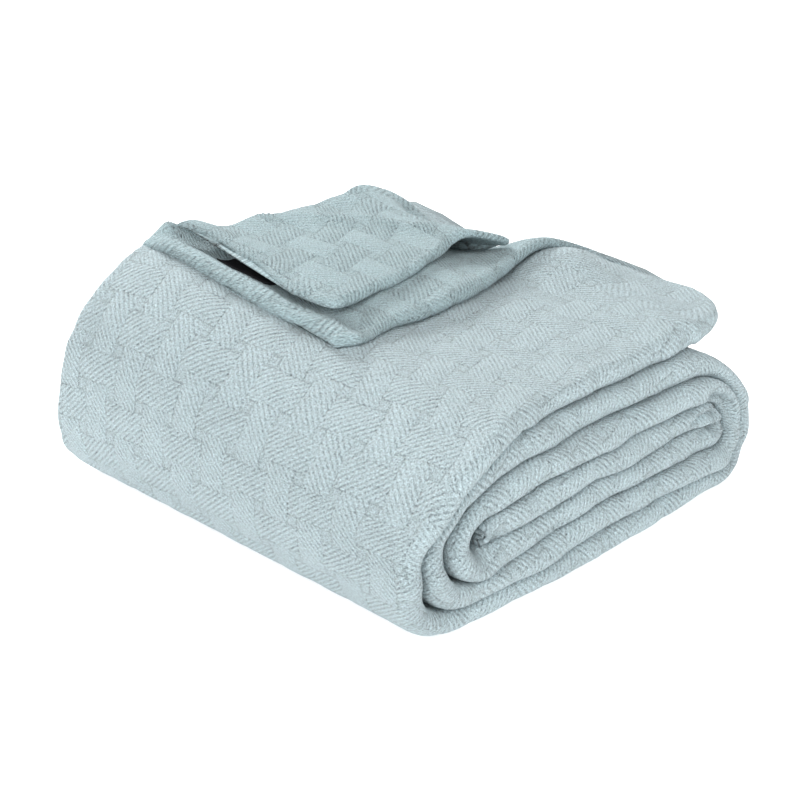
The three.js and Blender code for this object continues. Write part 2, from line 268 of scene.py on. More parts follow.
def far_rise(x, y):
    """How high the pile stands at a place, as a share of its height at the near edge."""
    rise = mix(FAR_RISE["left"], FAR_RISE["right"], smooth(*FAR_RISE["x"], x))
    near, far = RIGHT_SAG["y"]
    across = min(1.0, max(0.0, (y - near) / (far - near)))
    sag = RIGHT_SAG["by"] * smooth(*RIGHT_SAG["x"], x) * math.sin(math.pi * across) ** 2
    corner = RIGHT_CORNER["by"] * smooth(*RIGHT_CORNER["y"], y) * smooth(*RIGHT_CORNER["x"], x)
    waves = sum(by * math.sin(x / along + y / across + start) for by, along, across, start in TOP_WAVES)
    along, front, behind = RIGHT_HUMP["reach"]
    beyond = y - RIGHT_HUMP["y"]
    off = ((x - RIGHT_HUMP["x"]) / along, beyond / (front if beyond < 0 else behind))
    hump = RIGHT_HUMP["by"] * math.exp(-(off[0] ** 2) - off[1] ** 2)
    shoulder = LEFT_SHOULDER["by"] * smooth(*LEFT_SHOULDER["y"], y)
    shoulder *= math.exp(-(((x - LEFT_SHOULDER["x"]) / LEFT_SHOULDER["reach"]) ** 2))
    return 1 + rise * smooth(0, STRIP_WIDTH, y) - sag + corner + waves + hump + shoulder


def top_face(x, y):
    """The height of the top run's upper face."""
    return TOP_HEIGHT * far_rise(x, y) * slump(LEFT_SLUMP, x, y)


def uneven(x, y, z):
    """How far the near face strays out and up, where the folds are plumper or flatter than the rest."""
    at_face = smooth(*NEAR_REACH, y)
    off_floor = smooth(*OFF_FLOOR, z)
    outside, inside = DENT_ENDS
    out = sum(by * math.sin(x / along + z / up + start) for by, along, up, start in NEAR_WAVES)
    rise = sum(by * math.sin(x / along + z / up + start) for by, along, up, start in RISE_WAVES)
    for (x0, z0), (dx, dz), by, width in DENTS:
        length = math.hypot(dx, dz)
        gone = ((x - x0) * dx + (z - z0) * dz) / length
        off = ((x - x0) * dz - (z - z0) * dx) / length
        ends = smooth(-outside, inside, gone) * smooth(length + outside, length - inside, gone)
        out += by * math.exp(-((off / width) ** 2)) * ends
    return out * at_face * mix(FLOOR_SHARE, 1, off_floor), rise * at_face * off_floor


def settle(x, y, z, free):
    """Where a point of the neat pile has settled. The top run hangs free past the pile's right side."""
    near, far = along_edge(LEFT_PROFILE_NEAR, z), along_edge(LEFT_PROFILE_FAR, z)
    flare = mix(near, far, smooth(0, STRIP_WIDTH, y)) * smooth(*LEFT_SLUMP["x"], x)
    out, rise = uneven(x, y, z)
    height = z * far_rise(x, y) * slump(LEFT_SLUMP, x, y)
    if not free:
        height *= slump(RIGHT_SLUMP, x, y)
        height += RIGHT_HEEL["by"] * smooth(*RIGHT_HEEL["x"], x) * smooth(*RIGHT_HEEL["z"], z)
    return Vector((x + flare, y + out, max(0.0, height + rise)))


def near_edge(run, x):
    """Where a run's near edge lies, on the parabola through its three places."""
    u = (x - LEFT_TURN_X) / (RIGHT_TURN_X - LEFT_TURN_X)
    m = (MIDDLE_X - LEFT_TURN_X) / (RIGHT_TURN_X - LEFT_TURN_X)
    return (
        run["near_left"] * ((u - m) * (u - 1)) / m
        + run["near_middle"] * (u * (u - 1)) / (m * (m - 1))
        + run["near_right"] * (u * (u - m)) / (1 - m)
    )


def along_edge(places, at):
    """The value at a place along an edge, from its values at a few places."""
    for (start, first), (end, second) in zip(places, places[1:]):
        if at <= end:
            return mix(first, second, smooth(start, end, at))
    return places[-1][1]


def crest(x, y, raised):
    """The height of the upper plies' ridge: gentle in front and steep behind."""
    beyond = CREST["askew"] * (y - along_edge(CREST_LINE, x))
    share = math.exp(-((beyond / (CREST["front"] if beyond < 0 else CREST["behind"])) ** 2))
    return raised * mix(CREST["start"], CREST["height"], smooth(*CREST["x"], x)) * share


class Stretch:
    """One straight or curved part of a section, from start to end, in the plane across the strip."""

    def __init__(self, start=None, end=None, centre=None, radius=0, turn=None):
        self.start, self.end = start, end
        self.centre, self.radius, self.turn = centre, radius, turn
        if centre is None:
            self.length = math.hypot(end[0] - start[0], end[1] - start[1])
        else:
            self.length = abs(turn[1] - turn[0]) * radius

    def at(self, part):
        """The place and the direction away from the face that shows."""
        if self.centre is None:
            (y0, t0), (y1, t1) = self.start, self.end
            side = (-(t1 - t0) / self.length, (y1 - y0) / self.length)
            return (mix(y0, y1, part), mix(t0, t1, part)), side
        angle = mix(self.turn[0], self.turn[1], part)
        away = (math.cos(angle), math.sin(angle))
        place = (self.centre[0] + self.radius * away[0], self.centre[1] + self.radius * away[1])
        if self.turn[1] > self.turn[0]:
            away = (-away[0], -away[1])
        return place, away


def four_plies(near, far):
    """Four plies, nested: the outer near fold joins the lowest and the highest, the inner one the rest.

    Places across the cloth are counted from where its far fold starts."""
    half = PLY_PITCH / 2
    outer = 3 * half
    near_fold = near + outer + CLOTH / 2
    far_fold = far - half - CLOTH / 2
    quarter = math.pi / 2
    return (
        Stretch((far - FREE_EDGES_SHORT[0], -outer), (near_fold, -outer)),
        Stretch(centre=(near_fold, 0), radius=outer, turn=(-quarter, -3 * quarter)),
        Stretch((near_fold, outer), (far_fold, outer)),
        Stretch(centre=(far_fold, 2 * half), radius=half, turn=(quarter, -quarter)),
        Stretch((far_fold, half), (near_fold, half)),
        Stretch(centre=(near_fold, 0), radius=half, turn=(quarter, 3 * quarter)),
        Stretch((near_fold, -half), (far - FREE_EDGES_SHORT[1], -half)),
    ), FAR_FOLD


def two_plies(near, far):
    """Two plies joined by one near fold, open at the far edge.

    Places across the cloth are counted from where that fold starts."""
    half = UPPER_PLY_PITCH / 2
    near_fold = near + half + CLOTH / 2
    quarter = math.pi / 2
    return (
        Stretch((far, -half), (near_fold, -half)),
        Stretch(centre=(near_fold, 0), radius=half, turn=(-quarter, -3 * quarter)),
        Stretch((near_fold, half), (far, half)),
    ), NEAR_FOLD


def ring_columns(steps):
    """The columns round a closed section.

    Each is its stretch, its place along it, how far in from the cloth's edge it lies, how thick the cloth
    is there, and its face: 1 for the one that shows and -1 for the one inside."""
    faces = []
    for face in (0, 1):
        places = []
        for stretch, counts in enumerate(steps):
            count = counts[face]
            first = 0 if stretch == 0 else 1
            for i in range(first, count + 1):
                places.append([stretch, i / count, 0, 1.0])
        rounds = [(share, math.sqrt(1 - (1 - share) ** 2)) for share in EDGE_ROUND]
        places[:1] = [[places[0][0], 0.0, share, thick] for share, thick in rounds]
        places[-1:] = [[places[-1][0], 1.0, -share, thick] for share, thick in reversed(rounds)]
        faces.append([(*place, 1 - 2 * face) for place in places])
    return faces[0] + faces[1][::-1]


def section_points(section, columns, scale, bulge):
    """Each column's place across and through the strip, and its place along the cloth's own width.

    The section is its stretches and the one at whose start the cloth's width is counted from. The columns
    are two lists, and how far to go from the first to the second."""
    stretches, counted_from = section
    starts = [0.0]
    for stretch in stretches:
        starts.append(starts[-1] + stretch.length)
    first, second, share = columns
    points = []
    for one, other in zip(first, second):
        places = []
        for stretch, part, inset, thick, face in (one, other):
            places.append(starts[stretch] + part * stretches[stretch].length + inset * CLOTH / 2)
        gone = mix(*places, share)
        k = max(i for i in range(len(stretches)) if starts[i] <= gone + 1e-9)
        (y, t), side = stretches[k].at((gone - starts[k]) / stretches[k].length)
        across = gone - starts[counted_from]
        away = face * thick * (CLOTH / 2 + (bulge(across) if face == 1 else 0))
        points.append((y + side[0] * away, (t + side[1] * away) * scale, across))
    return points


def left_turn_x(run, after):
    """Where the turn between two runs starts at the left, the wider turns further out."""
    return LEFT_TURN_X + LEFT_TURN_STEP * (TOP_LEVEL - abs(after["level"] - run["level"])) / 2


def spiral_rows():
    """The rows along the spiral, from the core to the end of the top run."""
    runs = records(RUN_COLUMNS, RUNS)
    rows = []
    for i, run in enumerate(runs):
        height = STRIP_THICKNESS / 2 + RUN_PITCH * run["level"]
        goes_right = i % 2 == 0
        after = runs[i + 1] if i + 1 < len(runs) else None
        before = runs[i - 1] if i else None
        if goes_right:
            left = left_turn_x(before, run) if before else CORE_START_X
            start, end, heading = left, RIGHT_TURN_X, 0.0
        else:
            left = left_turn_x(run, after)
            start, end, heading = RIGHT_TURN_X, left, math.pi
        count = round(abs(end - start) / run["row_step"])
        for k in range(count + 1):
            x = mix(start, end, k / count)
            rows.append({
                "x": x,
                "z": height,
                "heading": heading,
                "near": near_edge(run, x),
                "free": after is None,
            })
        if after is None:
            continue
        rise = RUN_PITCH * (after["level"] - run["level"]) / 2
        side = 1 if goes_right else -1
        turn = math.copysign(1, rise) * side
        steps = max(FEWEST_TURN_ROWS, round(math.pi * (abs(rise) + STRIP_THICKNESS / 2) / run["turn_step"]))
        for s in range(1, steps):
            part = s / steps
            rows.append({
                "x": end + abs(rise) * math.sin(math.pi * part) * side,
                "z": height + rise * (1 - math.cos(math.pi * part)),
                "heading": heading + turn * math.pi * part,
                "near": mix(near_edge(run, end), near_edge(after, end), smooth(0, 1, part)),
                "free": False,
            })
    return rows


def curved(table, step):
    """A table's rows at even distances, on smooth curves through all its columns."""
    last = len(table) - 1
    fine = []
    for i in range(last):
        for s in range(CURVE_STEPS):
            t = s / CURVE_STEPS
            p, a, b, q = (table[min(last, max(0, k))] for k in (i - 1, i, i + 1, i + 2))
            fine.append({
                key: 0.5 * (
                    2 * a[key]
                    + (b[key] - p[key]) * t
                    + (2 * p[key] - 5 * a[key] + 4 * b[key] - q[key]) * t ** 2
                    + (3 * a[key] - p[key] - 3 * b[key] + q[key]) * t ** 3
                )
                for key in a
            })
    fine.append(dict(table[last]))
    gone = [0.0]
    for before, after in zip(fine, fine[1:]):
        rise = after["height"] - before["height"] + (after["thickness"] - before["thickness"]) / 2
        gone.append(gone[-1] + math.hypot(after["x"] - before["x"], rise))
    count = round(gone[-1] / step)
    rows, k = [], 0
    for n in range(count + 1):
        at = gone[-1] * n / count
        while k < len(gone) - 2 and gone[k + 1] < at:
            k += 1
        part = (at - gone[k]) / (gone[k + 1] - gone[k])
        row = {key: mix(fine[k][key], fine[k + 1][key], part) for key in fine[k]}
        rows.append(dict(row, gone=at, free=False))
    for k, row in enumerate(rows):
        before, after = rows[max(0, k - 1)], rows[min(len(rows) - 1, k + 1)]
        row["heading"] = math.atan2(after["height"] - before["height"], after["x"] - before["x"])
    return rows


# The basket weave. Its bands cross the strip a little askew. A place on the cloth is counted in bands
# from a gap at WEAVE_START, which lies so far across the strip from its far fold, and so far along it
# from the start of the top run.
WEAVE_START = (-13.6, -34.2)
BAND_PITCH = (23.9, 23.5)
BAND_TURN = (math.radians(10.3), math.radians(6.2))
BAND_SHARE = 0.35
BLOCK_REACH = 1 - BAND_SHARE
# The twill ribs on the blocks that run across the strip and on those that run along it: how many there
# are to a band, across the strip and along it
RIBS_ACROSS = (6.1, 7.6)
RIBS_ALONG = (-6.5, 6.5)
# How bold those ribs are, on the cloth's face and on its other one
BOLDNESS_ACROSS = (1.0, 0.5)
BOLDNESS_ALONG = (0.8, 1.1)
# The plain weave in the gaps: how many waves of yarn there are to a band, along the strip and across it
PLAIN_WEAVE = (19, 17)
# Depths in millimetres
DEPTHS = {"gap": 1.4, "fuzz": 2.2, "pucker": 2.2, "slit": 0.5, "plain_weave": 0.12}
# How much painted shade darkens the cloth in its rib valleys, slits, gaps and gap edges, and how far fuzz and
# specks vary its tone at random, as shares of its colour
PAINTED_SHADE_AND_TONE = {"valley": 0.3, "slit": 0.42, "gap": 0.1, "gap_edge": 0.32, "fuzz": 1.3, "speck": 2.2}


def weave_place(across, along):
    """A place on the cloth, in bands across the strip and along it."""
    across -= WEAVE_START[0]
    along -= WEAVE_START[1]
    return (
        (across * math.cos(BAND_TURN[0]) - along * math.sin(BAND_TURN[0])) / BAND_PITCH[0],
        (across * math.sin(BAND_TURN[1]) + along * math.cos(BAND_TURN[1])) / BAND_PITCH[1],
    )


def basket(across, along):
    """How far the cloth puffs at a place: 1 in the middle of a block, 0 at its edges and in the gaps."""
    b, a = weave_place(across, along)
    odd = (math.floor(a) + math.floor(b)) % 2
    fa, fb = a - math.floor(a) - 0.5, b - math.floor(b) - 0.5
    in_a, in_b = abs(fa) < BAND_SHARE, abs(fb) < BAND_SHARE
    if in_a and (not in_b or not odd):
        end = fb if not odd else fb - math.copysign(1, fb)
        return (1 - (fa / BAND_SHARE) ** 4) * (1 - (end / BLOCK_REACH) ** 4)
    if in_b:
        end = fa if odd else fa - math.copysign(1, fa)
        return (1 - (fb / BAND_SHARE) ** 4) * (1 - (end / BLOCK_REACH) ** 4)
    return 0.0


class ThrowSettings(bpy.types.PropertyGroup):
    """Sizes and colours of the throw."""

    puff: bpy.props.FloatProperty(
        name="Block puff", description="How far a woven block stands out of the cloth",
        default=0.0005, min=0, max=0.002, unit="LENGTH",
    )
    rib_depth: bpy.props.FloatProperty(
        name="Rib depth", description="Depth of the twill ribs on the blocks",
        default=0.0005, min=0, max=0.001, unit="LENGTH",
    )
    flat_width: bpy.props.FloatProperty(
        name="Flat width", description="Width of the cloth when it is laid out",
        default=1.08, min=0.5, max=2, unit="LENGTH",
    )
    flat_length: bpy.props.FloatProperty(
        name="Flat length", description="Length of the cloth when it is laid out",
        default=1.95, min=0.5, max=3, unit="LENGTH",
    )
    cloth_colour: bpy.props.FloatVectorProperty(
        name="Cloth colour", description="Colour of the cotton", subtype="COLOR", size=4,
        default=(0.463, 0.57, 0.603, 1), min=0, max=1,
    )
    # The other face's colour: partly its own darker tone, partly painted shade, darker and bluer, over the
    # turned-back end
    other_face_and_shade_colour: bpy.props.FloatVectorProperty(
        name="Back colour", description="Colour of the cloth's other face", subtype="COLOR", size=4,
        default=(0.366, 0.485, 0.513, 1), min=0, max=1,
    )
    label_colour: bpy.props.FloatVectorProperty(
        name="Label colour", description="Colour of the woven label", subtype="COLOR", size=4,
        default=(0.012, 0.012, 0.014, 1), min=0, max=1,
    )
    floor_colour: bpy.props.FloatVectorProperty(
        name="Floor colour", description="Colour of the floor", subtype="COLOR", size=4,
        default=(0.9, 0.9, 0.9, 1), min=0, max=1,
    )


def moved_grid(bm, uv_layer, tone_layer, rings):
    """Adds a closed piece of cloth: a grid with a row for each ring, moved to its places."""
    row_count, column_count = len(rings), len(rings[0])
    bmesh.ops.create_grid(bm, x_segments=column_count - 1, y_segments=row_count - 1, size=0.5)
    bm.verts.ensure_lookup_table()
    fresh = bm.verts[-row_count * column_count:]
    spots = {}
    for vert in fresh:
        column = round((vert.co.x + 0.5) * (column_count - 1))
        row = round((vert.co.y + 0.5) * (row_count - 1))
        spots[vert] = rings[row][column]
    for face in {face for vert in fresh for face in vert.link_faces}:
        for loop in face.loops:
            loop[uv_layer].uv = spots[loop.vert][1]
    for vert, (place, flat, tone) in spots.items():
        vert.co = place
        vert[tone_layer] = tone


def on_origin(point):
    """A place given in the pile's millimetres, in metres from the object's origin."""
    return Vector(((point[0] - PILE_MIDDLE[0]) * MM, (point[1] - PILE_MIDDLE[1]) * MM, point[2] * MM))


def strip_rows():
    """The strip's rows from the core to its end, each with how far it lies from the top run's start."""
    rows = [
        dict(row, turned_back=False, far=row["near"] + STRIP_WIDTH, scale=1.0) for row in spiral_rows()[:-1]
    ]
    for row in curved(records(END_COLUMNS, TURNED_BACK), END_ROW_STEP):
        scale = row["thickness"] / STRIP_THICKNESS
        rows.append(dict(row, turned_back=True, scale=scale, z=TOP_HEIGHT + row["height"]))
    before, gone = None, 0.0
    for row in rows:
        outer = STRIP_THICKNESS / 2 * row["scale"]
        here = (row["x"] - math.sin(row["heading"]) * outer, row["z"] + math.cos(row["heading"]) * outer)
        if before:
            gone += math.hypot(here[0] - before[0], here[1] - before[1])
        before = here
        row["gone"] = gone
    top_start = next(row["gone"] for row in rows if row["free"])
    end_start = next(row["gone"] for row in rows if row["turned_back"])
    for row in rows:
        row["along"] = row["gone"] - top_start
        row["turned"] = smooth(*END_SLIDE, row["gone"] - end_start)
        row["back"] = smooth(*OTHER_FACE_UP, row["gone"] - end_start)
    return rows


def strip_place(row, y, t):
    """Where a point of the strip lies, from its row, its place across and its place through the plies."""
    x = row["x"] - math.sin(row["heading"]) * t
    if not row["turned_back"]:
        return settle(x, y, row["z"] + math.cos(row["heading"]) * t, row["free"])
    height = row["height"] + row["lifted"] * (1 - smooth(0, LIFT_REACH, y - row["near"]))
    height += row["bulge"] * smooth(*BULGE[:2], y) * (1 - smooth(*BULGE[2:], y))
    x += row["back"] * smooth(*HEM_REACH, row["x"]) * along_edge(HEM_WAVE, y)
    x += smooth(*BEND_REACH, row["x"]) * along_edge(BEND_WAVE, y)
    corner = smooth(*FAR_CORNER["x"][:2], x) * (1 - smooth(*FAR_CORNER["x"][2:], x))
    height += row["back"] * FAR_CORNER["by"] * corner * smooth(*FAR_CORNER["y"], y)
    side = mix(POCKET_SIDE["drop"], POCKET_SIDE["rise"], smooth(*POCKET_SIDE["rises"], x))
    height += row["back"] * side * smooth(*POCKET_SIDE["y"], y) * smooth(*POCKET_SIDE["ends"], x)
    return Vector((x, y, top_face(x, y) + height + math.cos(row["heading"]) * t))


def fold_place(row, y, t):
    """Where a point of the two upper plies lies."""
    raised = row["raised"]
    x = row["x"] - math.sin(row["heading"]) * t
    x += raised * smooth(*UPPER_HEM_REACH, row["x"]) * along_edge(UPPER_HEM_WAVE, y)
    z = top_face(x, y) + row["height"] + math.cos(row["heading"]) * t
    x += UPPER_CORNER["by"] * smooth(*UPPER_CORNER["y"], y) * smooth(*UPPER_CORNER["x"], x)
    z += raised * smooth(*UPPER_RISE_REACH, row["x"]) * along_edge(UPPER_HEM_RISE, y)
    z += raised * UPPER_BACK["by"] * smooth(*UPPER_BACK["y"], y) * smooth(*UPPER_BACK["x"], x)
    return Vector((x, y, z + crest(x, y, raised)))


def placed(points, place, row, along, tone):
    """A ring of a row's points: each one's place, its place on the weave and its tone."""
    return [(on_origin(place(row, y, t)), weave_place(across, along), tone) for y, t, across in points]


def strip_rings(puff):
    """The closed section at each row of the strip."""
    run_columns, end_columns = ring_columns(RUN_STEPS), ring_columns(END_STEPS)
    rings = []
    for row in strip_rows():
        along = row["along"]
        points = section_points(
            four_plies(row["near"], row["far"]),
            (run_columns, end_columns, row["turned"]),
            row["scale"],
            lambda across: puff * basket(across, along),
        )
        rings.append(placed(points, strip_place, row, along, row["turned"]))
    return rings


def fold_rings(puff):
    """The closed section at each row of the two upper plies, whose weave goes on from the strip's."""
    columns = ring_columns(TWO_PLY_STEPS)
    start = strip_rows()[-1]["along"]
    rings = []
    for row in curved(records(FOLD_COLUMNS, UPPER_FOLD), FOLD_ROW_STEP):
        along = start + row["gone"]
        points = section_points(
            two_plies(row["near"], row["far"]),
            (columns, columns, 0),
            row["thickness"] / (UPPER_PLY_PITCH + CLOTH),
            lambda across: puff * basket(across, along),
        )
        rings.append(placed(points, fold_place, row, along, 1.0))
    return rings


class BuildCloth(bpy.types.Operator):
    """Builds the folded basket-weave cloth"""

    bl_idname = "throw.cloth"
    bl_label = "Folded cloth"

    def execute(self, context):
        settings = context.scene.throw
        mesh = bpy.data.meshes.new("folded_cloth")
        bm = bmesh.new()
        uv_layer = bm.loops.layers.uv.new(WEAVE_MAP)
        tone_layer = bm.verts.layers.float.new(TURNED_BACK_MAP)
        moved_grid(bm, uv_layer, tone_layer, strip_rings(settings.puff / MM))
        moved_grid(bm, uv_layer, tone_layer, fold_rings(settings.puff / MM))
        bmesh.ops.remove_doubles(bm, verts=bm.verts, dist=SAME_PLACE)
        open_edges = [edge for edge in bm.edges if edge.is_boundary]
        caps = bmesh.ops.holes_fill(bm, edges=open_edges, sides=0)["faces"]
        bmesh.ops.triangulate(bm, faces=caps, ngon_method="EAR_CLIP")
        bmesh.ops.recalc_face_normals(bm, faces=bm.faces)
        for face in bm.faces:
            face.smooth = True
        bm.to_mesh(mesh)
        bm.free()

        cloth = bpy.data.objects.new("folded_cloth", mesh)
        context.scene.collection.objects.link(cloth)
        mesh.materials.append(cloth_material(settings))
        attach(cloth, "root")
        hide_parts("throw")
        return {"FINISHED"}


def strip_rows_under_label():
    """The rows of the turned-back stretch that the label lies on, from left to right."""
    rows = [row for row in strip_rows() if row["turned_back"] and row["back"] > 0.9]
    return [row for row in reversed(rows) if row["x"] < UNDER_LABEL]


class BuildLabel(bpy.types.Operator):
    """Builds the small woven label inside the turned-back end"""

    bl_idname = "throw.label"
    bl_label = "Sewn label"

    def execute(self, context):
        settings = context.scene.throw
        bm = bmesh.new()
        bmesh.ops.create_grid(bm, x_segments=LABEL_STEPS[0], y_segments=LABEL_STEPS[1], size=0.5)
        uv_layer = bm.loops.layers.uv.new(WEAVE_MAP)
        for face in bm.faces:
            face.smooth = True
            for loop in face.loops:
                loop[uv_layer].uv = (loop.vert.co.x, loop.vert.co.y * LABEL["across"] / LABEL["along"])
        under = strip_rows_under_label()
        for vert in bm.verts:
            x = LABEL["x"] + LABEL["along"] * (vert.co.x + 0.5)
            y = LABEL["y"] + LABEL["across"] * (vert.co.y + 0.5)
            k = min(len(under) - 2, max(0, sum(row["x"] <= x for row in under) - 1))
            part = (x - under[k]["x"]) / (under[k + 1]["x"] - under[k]["x"])
            low, high = (row["height"] + row["thickness"] / 2 for row in under[k:k + 2])
            height = top_face(x, y) + mix(low, high, part) + LABEL["off_cloth"]
            vert.co = on_origin((x, y, height))
        mesh = bpy.data.meshes.new("woven_label")
        bm.to_mesh(mesh)
        bm.free()
        label = bpy.data.objects.new("woven_label", mesh)
        context.scene.collection.objects.link(label)
        plate = label.modifiers.new("Thickness", "SOLIDIFY")
        plate.thickness = LABEL["thickness"] * MM
        plate.offset = 0
        mesh.materials.append(label_material(settings))
        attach(label, "root")
        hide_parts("label")
        return {"FINISHED"}


def node(tree, kind, **inputs):
    """A new node with its inputs set, each given by its name."""
    made = tree.nodes.new(kind)
    for key, value in inputs.items():
        made.inputs[key].default_value = value
    return made


def value_of(tree, operation, *inputs, clamp=False):
    """A Math node's result. Each input is a number or another node's socket."""
    made = tree.nodes.new("ShaderNodeMath")
    made.operation = operation
    made.use_clamp = clamp
    for i, given in enumerate(inputs):
        if isinstance(given, (int, float)):
            made.inputs[i].default_value = given
        else:
            tree.links.new(given, made.inputs[i])
    return made.outputs[0]


def basket_group():
    """The basket weave's height, in millimetres, and what it does to its colour: painted shade in the rib
    valleys, the slits, the gaps and their edges, and a random tone from fuzz and specks.
    """
    tree = bpy.data.node_groups.new("Basket weave", "ShaderNodeTree")
    face = tree.interface
    face.new_socket("Weave place", in_out="INPUT", socket_type="NodeSocketVector")
    for name in ("Puff", "Rib depth", "Gap depth", "Fuzz", "Pucker", "Turned back"):
        face.new_socket(name, in_out="INPUT", socket_type="NodeSocketFloat")
    face.new_socket("Height", in_out="OUTPUT", socket_type="NodeSocketFloat")
    face.new_socket("Shade", in_out="OUTPUT", socket_type="NodeSocketFloat")
    given = tree.nodes.new("NodeGroupInput")
    made = tree.nodes.new("NodeGroupOutput")

    def do(operation, *inputs, clamp=False):
        return value_of(tree, operation, *inputs, clamp=clamp)

    def product(first, *factors):
        for factor in factors:
            first = do("MULTIPLY", first, factor)
        return first

    def noise(scale, detail):
        texture = node(tree, "ShaderNodeTexNoise", Scale=scale, Detail=detail)
        tree.links.new(given.outputs["Weave place"], texture.inputs["Vector"])
        return texture

    def patches(scale, detail, contrast, less):
        """A mask that comes and goes in soft patches."""
        return do("MULTIPLY_ADD", noise(scale, detail).outputs["Fac"], contrast, -less, clamp=True)

    def strayed(by, scale):
        """The place moved a little to and fro, as yarns stray from their lines."""
        push = tree.nodes.new("ShaderNodeVectorMath")
        push.operation = "MULTIPLY_ADD"
        push.inputs[1].default_value = (by, by, 0)
        push.inputs[2].default_value = (-by / 2, -by / 2, 0)
        tree.links.new(noise(scale, 2.0).outputs["Color"], push.inputs[0])
        moved = tree.nodes.new("ShaderNodeVectorMath")
        moved.operation = "ADD"
        tree.links.new(given.outputs["Weave place"], moved.inputs[0])
        tree.links.new(push.outputs[0], moved.inputs[1])
        parts = tree.nodes.new("ShaderNodeSeparateXYZ")
        tree.links.new(moved.outputs[0], parts.inputs[0])
        return parts.outputs["X"], parts.outputs["Y"]

    b, a = strayed(0.055, 7.0)
    odd = do("FLOORED_MODULO", do("ADD", do("FLOOR", a), do("FLOOR", b)), 2.0)
    even = do("SUBTRACT", 1.0, odd)
    far_a = do("ABSOLUTE", do("SUBTRACT", do("FRACT", a), 0.5))
    far_b = do("ABSOLUTE", do("SUBTRACT", do("FRACT", b), 0.5))
    in_a = do("LESS_THAN", far_a, BAND_SHARE)
    in_b = do("LESS_THAN", far_b, BAND_SHARE)
    # Blocks a run across the strip and blocks b along it. Where they cross, b lies on top on odd squares and
    # a on even ones. Each block's ends are counted from its own middle.
    show_a = do("MULTIPLY", in_a, do("SUBTRACT", 1.0, do("MULTIPLY", in_b, odd)))
    show_b = do("MULTIPLY", in_b, do("SUBTRACT", 1.0, do("MULTIPLY", in_a, even)))
    end_a = do("ADD", do("MULTIPLY", far_b, even), do("MULTIPLY", do("SUBTRACT", 1.0, far_b), odd))
    end_b = do("ADD", do("MULTIPLY", far_a, odd), do("MULTIPLY", do("SUBTRACT", 1.0, far_a), even))

    def on_blocks(for_a, for_b, share_a=show_a, share_b=show_b):
        """What each kind of block has, where it shows."""
        return do("ADD", do("MULTIPLY", for_a, share_a), do("MULTIPLY", for_b, share_b))

    def puffed(off_middle, end):
        """A block's rounded top, which falls to its sides and its ends."""
        side = do("SUBTRACT", 1.0, do("POWER", do("DIVIDE", off_middle, BAND_SHARE), 4.0), clamp=True)
        tip = do("SUBTRACT", 1.0, do("POWER", do("DIVIDE", end, BLOCK_REACH), 4.0), clamp=True)
        return do("MULTIPLY", side, tip)

    puff = on_blocks(puffed(far_a, end_a), puffed(far_b, end_b))

    rib_b, rib_a = strayed(0.035, 14.0)

    def ribs(times_b, times_a):
        turns_b = do("MULTIPLY", rib_b, times_b * 2 * math.pi)
        turns_a = do("MULTIPLY", rib_a, times_a * 2 * math.pi)
        return do("MULTIPLY_ADD", do("SINE", do("ADD", turns_b, turns_a)), 0.5, 0.5)

    def valley(rib):
        """The narrow lines between the ribs, where painted shade darkens the colour."""
        return do("POWER", do("SUBTRACT", 1.0, rib), 1.6)

    def rib_share(show, boldness):
        """How much of a kind of block's ribs shows, on either face of the cloth."""
        here, other = boldness
        return do("MULTIPLY", show, do("MULTIPLY_ADD", given.outputs["Turned back"], other - here, here))

    ribs_a, ribs_b = ribs(*RIBS_ACROSS), ribs(*RIBS_ALONG)
    shares = (rib_share(show_a, BOLDNESS_ACROSS), rib_share(show_b, BOLDNESS_ALONG))
    ribbed = on_blocks(ribs_a, ribs_b, *shares)
    sunk = on_blocks(valley(ribs_a), valley(ribs_b), *shares)
    # The ribs are bolder in some places than in others, and worn away in small patches
    bold = do("MULTIPLY_ADD", noise(2.3, 1.0).outputs["Fac"], 1.6, 0.4)
    bold = do("MULTIPLY", bold, patches(11.0, 2.0, 3.0, 0.6))

    # Where a block dives under the next one, its end is a sunk broken slit, darkened with painted shade
    def slit(end):
        return do("MULTIPLY_ADD", do("ABSOLUTE", do("SUBTRACT", end, BLOCK_REACH)), -28.0, 1.0, clamp=True)

    slits = do("MULTIPLY", on_blocks(slit(end_a), slit(end_b)), patches(5.5, 2.0, 5.0, 2.1))

    # A gap is a sunk window of plain weave, darkened with painted shade, which is darker here and there along
    # its edges
    gap = do("SUBTRACT", 1.0, do("MAXIMUM", in_a, in_b))
    into_gap = do("MINIMUM", do("SUBTRACT", far_a, BAND_SHARE), do("SUBTRACT", far_b, BAND_SHARE))
    gap_edge = product(do("MULTIPLY_ADD", into_gap, -13.0, 1.0, clamp=True), gap, patches(4.0, 1.0, 3.2, 0.9))
    yarns_a = do("SINE", do("MULTIPLY", a, 2 * math.pi * PLAIN_WEAVE[0]))
    yarns_b = do("SINE", do("MULTIPLY", b, 2 * math.pi * PLAIN_WEAVE[1]))
    fuzz = noise(21.0, 4.0).outputs["Fac"]
    speck = noise(44.0, 2.0).outputs["Fac"]
    pucker = noise(3.4, 1.5).outputs["Fac"]

    height = do("MULTIPLY", puff, given.outputs["Puff"])
    height = do("ADD", height, product(ribbed, bold, given.outputs["Rib depth"]))
    height = do("SUBTRACT", height, do("MULTIPLY", gap, given.outputs["Gap depth"]))
    height = do("SUBTRACT", height, do("MULTIPLY", slits, DEPTHS["slit"]))
    height = do("ADD", height, product(yarns_a, yarns_b, gap, DEPTHS["plain_weave"]))
    height = do("ADD", height, do("MULTIPLY", fuzz, given.outputs["Fuzz"]))
    height = do("ADD", height, do("MULTIPLY", pucker, given.outputs["Pucker"]))
    tree.links.new(height, made.inputs["Height"])
